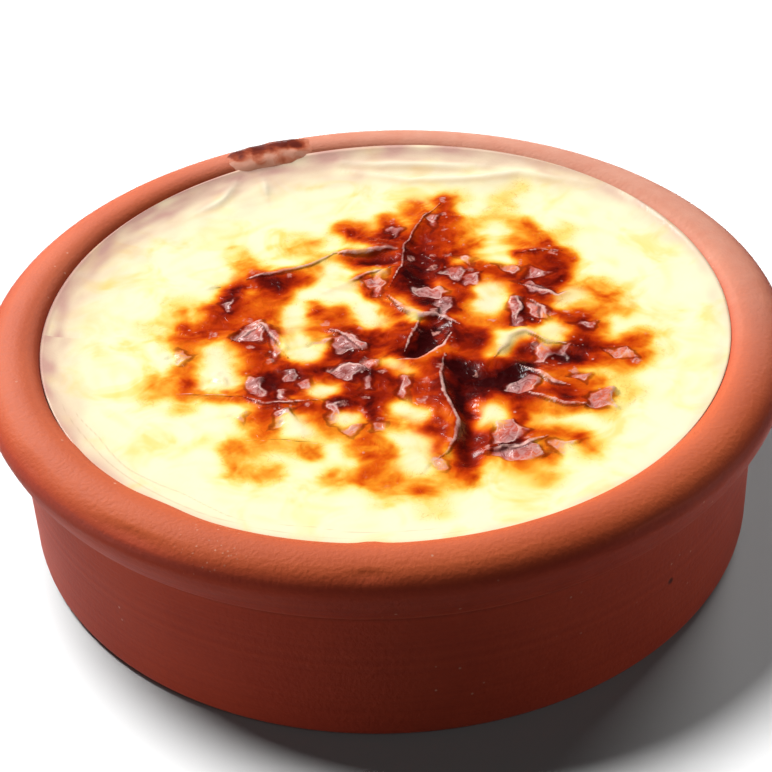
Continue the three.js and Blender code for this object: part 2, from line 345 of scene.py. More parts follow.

# Folds of the skin: crest line in mm, rise, width of the steep side on its left and of the gentle one,
# breadth of the painted highlight along the crest's lip; a fold of plain cream skin has no such lip and gets
# painted shade and a painted highlight instead
FOLDS = [
    ([(4, 23), (-3, 22.3), (-8, 22.6)], 1.2, 0.5, 2.6, 1.4),
    ([(-7.5, 22.7), (-13, 18.6), (-20, 16), (-23, 15.2)], 0.6, 0.4, 2.0, 0.8),
    ([(-27, 13.6), (-30, 12.8)], 0.4, 0.4, 1.5, 0.6),
    ([(11, 38), (7, 31), (4, 24), (3.5, 17), (1, 11)], 0.8, 1.0, 2.6, 0.55),
    ([(3, 17), (-2, 15.8), (-6, 12.5), (-12, 9.5)], 0.5, 0.9, 1.6, 0.9),
    ([(12.5, -1), (9, 2), (6, 1.8), (3.5, 4), (1, 8.5)], 0.9, 0.7, 2.0, 1.6),
    ([(6, 1.5), (4.5, -4), (3, -8)], 0.6, 0.8, 1.6, 0.7),
    ([(1, -10), (5, -10.5), (9.5, -7), (11, -3)], 0.8, 0.8, 1.6, 1.2),
    ([(9.5, -9), (8.6, -15), (9, -21), (10.6, -27), (10, -32), (7, -36)], 1.1, 0.6, 2.4, 1.0),
    ([(31, -8.5), (26, -7), (23, -4.2), (20, -5.5), (17, -11)], 0.9, 0.8, 2.4, 0.8),
    ([(28.5, -19), (26, -18.3), (24, -15.5), (21, -12.5)], 0.8, 0.6, 1.6, 1.1),
    ([(33, -24.5), (27, -24), (23, -21.5), (19, -19)], 0.7, 0.7, 1.8, 0.9),
    ([(22, 6.3), (22.6, 3), (21.5, -1)], 0.6, 0.6, 1.2, 1.1),
    ([(25, -2), (26.5, 2.5), (24, 6)], 0.6, 0.6, 1.2, 0.9),
    ([(31.5, 20.4), (22.5, 20)], 0.4, 0.5, 1.8, 0.35),
    ([(23, 10.5), (26, 8), (29, 6), (31.5, 8)], 0.6, 0.7, 1.2, 1.1),
    ([(-15, -8.5), (-17, -4), (-20, 1.5), (-25, -3)], 0.6, 0.7, 1.6, 0.9),
    ([(-3, -8), (-6, -3), (-9, -1)], 0.6, 0.7, 1.5, 0.8),
    ([(-9, -19.8), (-19, -20.5), (-22, -18.3)], 0.4, 0.6, 1.6, 0.7),
    ([(-22, -18.3), (-33, -16.5)], 0.3, 0.4, 1.2, 0.3),
    ([(-23, -29.3), (-16, -30), (-9, -31.3)], 0.3, 0.6, 1.6, 0.3),
    ([(24, -31), (20, -33.5), (14, -33.8)], 0.5, 0.6, 1.6, 0.9),
    ([(-9.6, -12.8), (-5.5, -11), (-2.1, -13.4)], 0.5, 0.6, 1.4, 0.9),
    ([(-16.8, -23.8), (-15.1, -22.9), (-12.9, -27.6)], 0.5, 0.6, 1.4, 0.9),
    ([(-4, 50), (6, 46.2), (16, 45.4), (26, 46.2), (36, 41.5)], 1.2, 1.1, 2.6, 0.0),
    ([(-6, 53), (8, 51.2), (20, 49.6)], 0.8, 0.9, 1.4, 0.0),
    ([(-26, 47), (-28, 42), (-32, 38)], 0.5, 0.7, 1.6, 0.0),
    ([(-21, 48), (-20, 43)], 0.5, 0.7, 1.6, 0.0),
]

# Hollows where the skin has sunk between the folds: middle line in mm, depth, width
HOLLOWS = [
    ([(6.5, 27), (6.5, 17), (8, 11)], 0.8, 2.6),
    ([(-4, 20.6), (2, 20)], 0.8, 1.8),
    ([(8, -1), (7.4, -5), (5, -8)], 1.1, 2.2),
    ([(12, -13), (15, -16.5), (20, -15.5)], 0.9, 2.6),
    ([(12, -18), (12.8, -26), (11.8, -36)], 1.1, 1.8),
    ([(21, -9), (26, -11), (30, -10.6)], 0.7, 2.0),
]

# Browning of the skin, stroke by stroke: points in mm, half width, strength
# A strength of 0.3 gives yellow, 0.5 orange and 1 nearly black
SCORCH = {
    "back finger": [
        ([(11.8, 38.5), (11.8, 34)], 2.0, 0.74), ([(12, 33), (12, 29)], 2.2, 0.82),
        ([(9, 31), (8, 26)], 2.2, 0.77), ([(10, 28), (9.5, 23)], 3.0, 0.83),
        ([(7, 25), (6.5, 20)], 2.0, 0.96), ([(5.5, 26), (4, 24)], 1.0, 0.88),
        ([(6, 18), (5.5, 13)], 2.4, 1.03), ([(9, 20), (10, 17)], 2.5, 0.84),
        ([(13.5, 25), (13.5, 22)], 2.0, 0.7), ([(15.5, 26)], 1.2, 0.52),
        ([(14, 29), (16.5, 29.5)], 1.0, 0.44), ([(5.5, 37), (5.5, 34)], 1.6, 0.57),
        ([(7.5, 36)], 1.0, 0.62), ([(14.5, 39.5)], 1.5, 0.28),
    ],
    "back patch": [
        ([(-5, 30), (-3, 27), (0, 26), (2, 28)], 1.6, 0.8), ([(0.5, 26), (1.5, 24)], 1.5, 0.86),
        ([(-6.5, 30.5)], 1.6, 0.52), ([(1, 33), (2.5, 29)], 1.4, 0.7), ([(-3, 30.8)], 1.2, 0.74),
        ([(-14.5, 28), (-14.5, 25)], 1.2, 0.4), ([(-11.5, 26.5)], 1.2, 0.42),
        ([(-13.5, 23)], 1.5, 0.32),
    ],
    "under the long back fold": [
        ([(-4, 19.5), (1.5, 19.3)], 1.7, 1.0), ([(-19.5, 15), (-16, 14.5)], 1.8, 0.9),
        ([(-18.5, 12)], 2.0, 0.84), ([(-15, 14), (-13.5, 15)], 1.5, 0.74),
        ([(-13, 17), (-10, 20.5)], 0.9, 0.56), ([(-17, 10), (-18, 7)], 1.5, 0.68),
        ([(-6, 20.5)], 1.0, 0.6),
    ],
    "left arm": [
        ([(-24.5, 24), (-23.5, 22)], 1.2, 0.4), ([(-23.3, 21), (-22, 16)], 1.4, 0.5),
        ([(-22, 15), (-22, 11)], 1.6, 0.48), ([(-25, 12), (-25.5, 8), (-26, 4)], 2.0, 0.87),
        ([(-27.5, 6), (-29, 1)], 2.5, 0.7), ([(-30, -0.5)], 3.0, 0.8),
        ([(-33, 0), (-32, -3)], 2.0, 0.64), ([(-21, 8), (-20, 5)], 2.5, 0.7),
        ([(-22, 2), (-20, 5)], 2.5, 0.68), ([(-18, 4), (-17.5, -1)], 1.5, 0.74),
        ([(-25, -2.5)], 1.4, 0.72), ([(-33, 8)], 3.0, 0.28), ([(-31.5, -4.5)], 1.0, 0.77),
        ([(-30, -6), (-30.5, -9)], 1.3, 0.62), ([(-37.5, 1.5)], 2.0, 0.22),
        ([(-31.5, -9), (-31.5, -12), (-30.5, -15)], 1.0, 0.68), ([(-34.5, -13.5)], 2.0, 0.34),
        ([(-34, -14), (-36, -17)], 0.8, 0.42), ([(-31, -17), (-32, -20)], 0.9, 0.42),
        ([(-31, -17), (-27, -17.7), (-23, -17.8), (-20.5, -19)], 0.5, 0.66),
    ],
    "left middle": [
        ([(-24, -5.5), (-21, -8.5), (-19.5, -10)], 1.6, 0.6),
        ([(-23, -4), (-19, -6.5), (-18, -9)], 1.4, 0.84), ([(-20, -2), (-22, -1.5)], 1.6, 0.86),
        ([(-22, -11), (-18, -11.5)], 1.5, 0.7), ([(-18, -12), (-13, -11.5), (-10.5, -13)], 1.6, 0.9),
        ([(-19, -13), (-17.5, -15.5)], 1.3, 0.82), ([(-13, -14), (-10.5, -13.8)], 1.0, 0.86),
        ([(-17, -16.5), (-17, -20.5)], 1.3, 0.78), ([(-14, -17)], 0.9, 0.7),
        ([(-20.5, -16)], 1.4, 0.8), ([(-18.5, -22), (-19, -24.5)], 1.6, 0.76),
        ([(-20.5, -24)], 1.0, 0.62), ([(-18, -27), (-19, -28.5)], 1.3, 0.6),
        ([(-12.5, -21.5), (-10, -22), (-11, -24.5)], 1.5, 0.8),
        ([(-7, -20.5), (-5, -21.5), (-2, -22)], 1.6, 0.84), ([(-13, -20.5)], 0.8, 0.62),
        ([(-11, -24), (-9, -27.5)], 1.1, 0.62), ([(-8, -28), (-6.5, -27.5)], 1.0, 0.54),
    ],
    "middle": [
        ([(-11, 5.5), (-9, 2)], 1.5, 0.7), ([(-7, 5), (-6.5, 1.5)], 1.3, 0.7),
        ([(-7, 0), (-5, -1.5)], 2.0, 0.84), ([(-12, -1.5), (-11, -3)], 1.2, 0.5),
        ([(-2, 13)], 1.8, 0.84), ([(-1, 10), (0.5, 8)], 1.2, 0.77), ([(0.5, 7), (1.5, 5)], 0.8, 0.7),
        ([(-6, -5.5)], 2.4, 0.88), ([(-8, -8.4), (-3, -8.7)], 0.9, 0.95),
        ([(-2.5, -3), (-1.5, -7)], 1.3, 0.82), ([(0, -3), (0.5, -6)], 1.2, 0.77),
        ([(-5.5, -12.5)], 3.0, 0.9), ([(-9.5, -9.5), (-9.5, -14)], 0.9, 0.86),
        ([(-2, -14), (-1.5, -17), (-1.5, -20)], 2.2, 0.95), ([(-5, -16.5), (-6, -19)], 1.5, 0.87),
        ([(0.5, -16), (1, -19)], 1.4, 0.84), ([(2, 5), (1.5, 0), (3, -3)], 1.2, 0.64),
    ],
    "heart": [
        ([(3, 12), (4, 8), (5.5, 5), (8, 3)], 1.6, 0.97), ([(8, 8), (9.5, 4.5)], 2.4, 0.92),
        ([(11.5, 14), (12.5, 11)], 2.0, 0.87), ([(14.5, 16), (17.5, 13.5)], 1.5, 0.84),
        ([(13.5, 9.5), (13.5, 6), (13, 3.5)], 1.6, 0.84), ([(15, 1.5), (18, -0.5)], 1.5, 0.66),
        ([(7.5, -1), (7, -4), (5.5, -7.5)], 1.9, 1.0), ([(10.5, -1.5), (11.5, -3)], 1.4, 0.97),
        ([(3.5, -2), (2, -6)], 1.0, 0.8), ([(12.5, -4), (13, -8)], 1.8, 0.82),
        ([(15.5, -4), (16, -7)], 1.4, 0.95), ([(14.5, -10), (16, -12.5)], 1.5, 0.84),
        ([(11, -12.5), (13, -14.5), (17, -16.5), (20.5, -15)], 2.2, 1.12),
        ([(20, -12.5), (22.5, -12.5)], 1.5, 1.0), ([(11, -18), (14, -19)], 2.0, 0.97),
        ([(21, -18)], 2.0, 0.88), ([(17, -19.7), (19, -20.7), (22, -22)], 1.0, 0.9),
        ([(5, -12), (7, -14)], 1.5, 0.72), ([(4.5, -15), (5, -19)], 1.5, 0.84),
        ([(6, -21)], 1.4, 0.74), ([(8.5, -12), (8, -16), (8, -21)], 0.9, 0.88),
        ([(11, -16), (11.5, -22), (11.8, -28), (11.8, -33)], 1.3, 1.03),
        ([(7.5, -23), (7.5, -28)], 1.0, 0.8), ([(11.5, -35), (11, -38.5)], 1.5, 0.87),
        ([(10.5, -40.5)], 1.2, 0.62), ([(8, -30)], 1.2, 0.62), ([(8, -33), (6.5, -35)], 0.7, 0.57),
    ],
    "right back": [
        ([(16.5, 17), (19, 15)], 1.2, 0.67), ([(19, 14.5), (22.5, 13)], 1.5, 0.8),
        ([(23, 11.5)], 1.2, 0.82), ([(25.5, 27), (28, 26), (27.5, 23)], 1.6, 0.57),
        ([(25, 29.5)], 1.0, 0.42), ([(23.5, 24)], 0.8, 0.42), ([(27, 21.5)], 1.8, 0.57),
        ([(24, 20), (31.5, 20)], 0.4, 0.77), ([(27, 19), (30, 18.5)], 1.5, 0.84),
        ([(26, 16), (26, 14)], 1.6, 0.8), ([(29.5, 16), (29, 12)], 1.8, 0.87),
        ([(29.5, 10), (28.5, 8.5)], 1.3, 0.87), ([(31, 17)], 1.0, 0.67), ([(27.5, 11.5)], 1.5, 0.87),
        ([(22.3, 9)], 1.2, 0.77), ([(25.5, 8.5)], 1.4, 0.8),
        ([(24.5, 7), (27.5, 5), (29.5, 3.5)], 0.9, 0.87), ([(28, 3), (29, 1), (30, -1)], 1.4, 0.84),
        ([(31, 2), (31.5, 0)], 1.4, 0.77), ([(22.5, 3.5), (22.7, -1)], 1.2, 0.9),
        ([(20.5, 3), (20, -2)], 0.6, 0.77), ([(24.7, 2), (24.3, -1.5)], 0.9, 0.8),
        ([(17, 31.5), (22, 34), (22.5, 39), (26, 42)], 1.0, 0.33), ([(23.5, 31.5)], 1.2, 0.35),
        ([(31.5, 25)], 1.5, 0.34), ([(33, 28)], 1.0, 0.26), ([(34.5, 9.5), (36.5, 9)], 1.3, 0.46),
        ([(38.5, 5.5)], 1.5, 0.56), ([(36, 3), (35, 1)], 1.5, 0.46), ([(39.5, 2)], 1.2, 0.4),
    ],
    "right": [
        ([(22.5, -7.5), (21, -10.5)], 1.5, 0.92), ([(27.5, -10.5)], 1.7, 0.86),
        ([(18, -9.5), (17.5, -11.5)], 0.8, 0.87), ([(32, -4), (31.5, -8), (31, -11)], 1.8, 0.82),
        ([(34, -3)], 1.4, 0.7), ([(33.5, -12.5)], 1.2, 0.72), ([(35, -9), (38, -9.3)], 0.9, 0.7),
        ([(40.5, -8), (41, -11), (39.5, -13.5)], 1.5, 0.57), ([(41.5, -5.5)], 1.2, 0.46),
        ([(36.5, -12.5), (38.5, -13)], 1.0, 0.62), ([(26, -14.5), (27, -16)], 1.8, 0.7),
        ([(25, -20), (27.5, -20.5), (28, -22)], 1.6, 0.9), ([(29.5, -18), (30, -21)], 1.2, 0.7),
        ([(31.5, -18.5)], 1.3, 0.64), ([(29, -24), (33, -25.2)], 0.8, 0.67),
        ([(26.5, -24.7), (22.5, -24)], 0.9, 0.57), ([(32.5, -22.5)], 1.6, 0.66),
        ([(36.5, -17), (37, -21)], 1.5, 0.3),
    ],
    "front right": [
        ([(17, -22.5), (20, -25), (22, -28)], 0.9, 0.64), ([(21, -28), (23, -30)], 1.2, 0.7),
        ([(25, -31), (28.5, -31.5)], 0.9, 0.6), ([(22, -31)], 1.0, 0.76),
        ([(15, -33.3), (19, -33.3)], 0.7, 0.84), ([(14, -31), (14, -28)], 1.2, 0.82),
        ([(18, -30)], 2.0, 0.76), ([(19, -35)], 1.6, 0.6), ([(23.5, -33), (24, -36)], 0.8, 0.64),
        ([(16, -36.5), (19, -38)], 0.8, 0.42), ([(29, -36)], 1.4, 0.3), ([(23, -41.5)], 1.8, 0.25),
    ],
    "front": [
        ([(-3, -23.5), (-2.5, -25.5)], 1.3, 0.74),
        ([(-3.5, -27), (-3.5, -30), (-3, -32.5)], 1.4, 0.62), ([(-5, -32)], 1.0, 0.54),
        ([(0, -32.5)], 1.2, 0.57), ([(-1, -34), (-2, -37), (-2.5, -40)], 1.7, 0.49),
        ([(1.5, -26), (3.5, -27.5), (6, -28)], 1.0, 0.64),
        ([(0.5, -40), (2.5, -41), (4.5, -42.5)], 1.2, 0.52), ([(-1, -42)], 1.3, 0.46),
        ([(5.5, -41.5), (9, -41)], 1.2, 0.42), ([(6, -47)], 1.6, 0.22),
    ],
    "front left": [
        ([(-23, -30), (-22, -31)], 0.7, 0.46), ([(-18, -30.2), (-16, -30.6)], 0.5, 0.5),
        ([(-13, -30.5), (-12, -33)], 0.8, 0.5), ([(-24, -31.7), (-14, -31.7)], 0.2, 0.36),
        ([(-23, -33.8), (-21, -34.5)], 0.5, 0.4),
        ([(-22.5, -36.8), (-20, -38), (-17.5, -37.5)], 0.7, 0.52), ([(-18, -35.6)], 0.4, 0.34),
        ([(-8, -38.5), (-6.5, -40)], 0.9, 0.33),
    ],
}

# Windows that stayed pale among the browning: points in mm, half width, share of the browning taken off
WINDOWS = [
    ([(-8.7, 18), (-8.5, 14)], 2.4, 0.62), ([(-15, 5), (-15, 0)], 1.8, 0.85),
    ([(-13, 10), (-5, 12)], 1.0, 0.8), ([(-8, 9)], 1.5, 0.85), ([(-3, 4), (-1.5, 1)], 2.0, 0.9),
    ([(-3.5, 33.5)], 1.8, 0.5), ([(-1.2, 31), (-1.5, 29.5)], 0.8, 0.4),
    ([(17, 3.8), (18.3, 9.5)], 2.4, 1.0), ([(32, 7), (29.8, 4.8)], 1.6, 0.9), ([(41, 4)], 1.5, 0.5),
    ([(26, 37)], 2.5, 0.6), ([(-27, -6), (-26, -11), (-25.5, -14)], 2.2, 0.95),
    ([(-28, -15)], 1.4, 0.7), ([(-12.5, -7.5)], 2.4, 0.9), ([(-14, -4)], 1.3, 0.8),
    ([(-10, -17.8)], 1.9, 0.95), ([(-14, -26)], 2.2, 0.9), ([(-12.5, -28)], 1.6, 0.8),
    ([(-6, -24.7)], 1.7, 0.85), ([(3, -24), (4.5, -25.3)], 1.7, 0.85),
    ([(3.5, -31), (4.5, -33.5), (3.5, -37)], 2.2, 0.9), ([(15.5, -24), (15, -27)], 1.6, 0.9),
    ([(23.5, -27.5)], 1.0, 0.7), ([(22.5, -4.4), (20, -5.8), (18.5, -9.5)], 0.7, 0.85),
    ([(28, -4)], 1.9, 0.9), ([(1.5, -12), (3.2, -13)], 0.9, 0.7), ([(-26.5, 16.5)], 1.8, 0.6),
    ([(3, 7), (5, 3)], 0.6, 0.6),
]

# Loose plates of dried skin, tilted like tiles: corners in mm
PLATES = [
    [(5.3, 11), (8, 11.3), (10.8, 9.5), (10.4, 7), (6.5, 8.2)],
    [(8.6, 6.2), (11, 6.6), (11.6, 3.2), (9.4, 2.6)],
    [(10.2, 15.4), (12, 16.5), (14.8, 15), (13.2, 12.6)],
    [(14, 13), (16.3, 13.7), (15.8, 11.2), (14.5, 11)],
    [(24.4, 12.6), (25.4, 15.2), (28.3, 13.6), (27, 12.8)],
    [(23.2, 10.6), (25.2, 10.2), (28, 6.8), (26.2, 6.6)],
    [(21, 6.3), (22.6, 6), (22.2, -2.5), (21.2, -2)],
    [(23.8, 4.4), (26.8, 2), (26.8, -0.5), (24.4, 0.6)],
    [(-24.6, -2.2), (-20, 2.2), (-18.6, 0.4), (-20, -3.4)],
    [(-18.8, -0.2), (-17.6, -0.6), (-15.9, -7.2), (-17.4, -8.2)],
    [(-8.4, -3.4), (-5.6, -2.4), (-3, -6.8), (-7, -7.6)],
    [(-9, -12.2), (-6, -10.4), (-3, -12), (-5.4, -15)], [(-3.8, -10.6), (-1.2, -10), (-2.5, -12.4)],
    [(-3.6, -17.4), (-2.4, -17.4), (-2.6, -14.6)],
    [(-34.8, -7.4), (-33, -4.8), (-31.2, -6.6), (-33, -8.6)],
    [(-22.4, -14), (-19.6, -13.8), (-19, -18), (-21, -17.6)],
    [(-16.8, -17), (-15.9, -17), (-15, -20), (-16.2, -19.6)],
    [(-16.4, -12.4), (-14.4, -12.6), (-14, -14.2), (-15.8, -14)],
    [(-17.4, -26.2), (-16.2, -22), (-14.8, -22.4), (-16.4, -26.2)],
    [(-9.1, -20.5), (-7.8, -20.8), (-7, -25), (-8.6, -25.2)],
    [(-2.2, -26), (-0.4, -26.6), (0, -28.4), (-1.8, -28.2)],
    [(2.9, -15), (3.4, -15.2), (3, -20.2), (1.7, -19.4)],
    [(15.8, -32.2), (16.4, -28), (18, -27.3), (20.4, -29.8), (19, -32.6)],
    [(14.8, -34.4), (20.6, -33), (23, -35), (19, -37)], [(24, -33), (28, -33), (25.5, -36)],
    [(30.3, -23), (33, -21), (34.7, -20.4), (34.4, -25), (31, -24.4)],
    [(18, -18.7), (22, -15.4), (23.8, -17.2), (22.4, -20), (20, -20)],
    [(24, -7.6), (26.4, -8.2), (25.4, -11.6), (24.2, -11)], [(27, -8.8), (29.4, -8.2), (29, -11)],
    [(35.5, -10), (38.6, -10.2), (39.2, -11.6), (36.4, -11.4)],
    [(6.4, -35.6), (8.4, -36.4), (8, -38.6), (6.8, -38.2)],
    [(-3.6, 13.4), (-1.4, 14.2), (-0.3, 11.2), (-2, 11.2)],
    [(-0.6, 16), (0.6, 16.2), (-0.6, 8.6), (-1.1, 8.8)],
    [(-29, -12.4), (-26.4, -11.6), (-25.4, -14.4), (-28.6, -15.2)],
    [(-11.6, -4), (-8.8, -3.6), (-9.4, -5.6), (-11.8, -5.4)],
    [(-13.6, -15), (-12, -14.6), (-12, -17), (-13.6, -16.6)], [(13.4, 20), (15.8, 19.4), (15, 17.8)],
    [(20.6, 16), (23.4, 15.4), (22.4, 13.8)], [(31.4, -2.4), (34, -2), (33.4, -3.8)],
    [(2, 30), (3.6, 29), (2.4, 27)], [(-27, 8), (-25, 9), (-25.4, 6.4)],
    [(29.6, -16.6), (31.8, -16), (31, -18)], [(-24.4, -23), (-21.6, -22), (-22, -24.4)],
    [(8.6, 33), (10.2, 33.6), (9.4, 30.4)], [(-7.4, -27.4), (-4.4, -27), (-5.4, -29)],
]
PLATE_SLOPE_X, PLATE_SLOPE_Y = 0.26, 0.13

# Film of milk drawn up the clay all round, its pink-grey partly painted shade from the rim, most on the left
# and back left: bearing in degrees, breadth in mm, strength
FILM_AND_SHADE = [(-45, 1.3, 0.4), (0, 2.4, 0.45), (45, 2.2, 0.75), (75, 4.5, 0.85), (100, 6.0, 1.0), (125, 5.0, 1.05),
        (150, 3.8, 1.15), (180, 3.2, 1.15), (215, 2.0, 0.85), (250, 1.2, 0.5), (315, 1.3, 0.4)]


def along_line(points, x, y):
    """Distance of places x, y from a line of points, positive on its left, and the share of it passed."""
    if len(points) == 1:
        points = points * 2
    nearest, side, share = np.full(x.shape, np.inf), np.ones(x.shape), np.zeros(x.shape)
    spans = len(points) - 1
    for index, ((ax, ay), (bx, by)) in enumerate(zip(points, points[1:])):
        dx, dy = bx - ax, by - ay
        t = np.clip(((x - ax) * dx + (y - ay) * dy) / max(dx * dx + dy * dy, 1e-9), 0, 1)
        gap = np.hypot(x - ax - t * dx, y - ay - t * dy)
        closer = gap < nearest
        nearest = np.where(closer, gap, nearest)
        side = np.where(closer, np.where(dx * (y - ay) - dy * (x - ax) >= 0, 1, -1), side)
        share = np.where(closer, (index + t) / spans, share)
    return nearest * side, share


def smooth_step(low, high, x):
    t = np.clip((x - low) / (high - low), 0, 1)
    return t * t * (3 - 2 * t)


def wobble(x, y, size, seed):
    """Smooth noise of about -1 to 1 with features of about the given size in mm."""
    slopes = np.random.default_rng(seed).normal(size=(2, 256, 256))
    u, v = x / size + 128, y / size + 128
    i, j = np.floor(u).astype(int), np.floor(v).astype(int)
    u, v = u - i, v - j

    def corner(di, dj):
        slope_x, slope_y = slopes[:, (i + di) % 256, (j + dj) % 256]
        return slope_x * (u - di) + slope_y * (v - dj)

    su, sv = u ** 3 * (u * (u * 6 - 15) + 10), v ** 3 * (v * (v * 6 - 15) + 10)
    low = corner(0, 0) * (1 - su) + corner(1, 0) * su
    high = corner(0, 1) * (1 - su) + corner(1, 1) * su
    return low * (1 - sv) + high * sv


def scorch_field(x, y):
    """How far the skin is browned at each place: 0 cream, about 0.5 orange, 1 nearly black."""
    wx = x + 0.9 * wobble(x, y, 4.5, 1) + 0.55 * wobble(x, y, 1.7, 2)
    wy = y + 0.9 * wobble(x, y, 4.5, 3) + 0.55 * wobble(x, y, 1.7, 4)
    soft = 2.6 + 1.2 * wobble(x, y, 4, 5)
    total, weight, clear = np.zeros(x.shape), np.full(x.shape, 1e-6), np.ones(x.shape)
    for strokes in SCORCH.values():
        for points, width, strength in strokes:
            distance = np.abs(along_line(points, wx, wy)[0])
            cover = 1 - smooth_step(0.25 * width, width + soft, distance)
            total += strength * cover ** 2
            weight += cover ** 2
            clear *= 1 - cover
    field = total / weight * (1 - clear) ** 0.8
    ragged_x, ragged_y = 1.3 * wobble(x, y, 3.0, 8), 1.3 * wobble(x, y, 3.0, 9)
    for points, width, share in WINDOWS:
        distance = np.abs(along_line(points, wx + ragged_x, wy + ragged_y)[0])
        field *= 1 - 0.9 * share * (1 - smooth_step(0.1 * width, 1.15 * width + 1.9, distance))
    return field


def soften(values, passes):
    """Blurs values laid out on the skin's grid."""
    sheet = values.reshape(SKIN_CELLS + 1, SKIN_CELLS + 1)
    for _ in range(passes):
        wide = np.pad(sheet, 1, mode="edge")
        sheet = (wide[:-2, 1:-1] + wide[2:, 1:-1] + wide[1:-1, :-2] + wide[1:-1, 2:] + 2 * sheet) / 6
    return sheet.ravel()


def inside_polygon(corners, x, y):
    """How deep in mm each place lies inside a convex polygon; negative outside."""
    turns = sum(ax * by - bx * ay for (ax, ay), (bx, by) in zip(corners, corners[1:] + corners[:1]))
    depth = np.full(x.shape, np.inf)
    for (ax, ay), (bx, by) in zip(corners, corners[1:] + corners[:1]):
        length = math.hypot(bx - ax, by - ay) * math.copysign(1, turns)
        depth = np.minimum(depth, ((bx - ax) * (y - ay) - (by - ay) * (x - ax)) / length)
    return depth


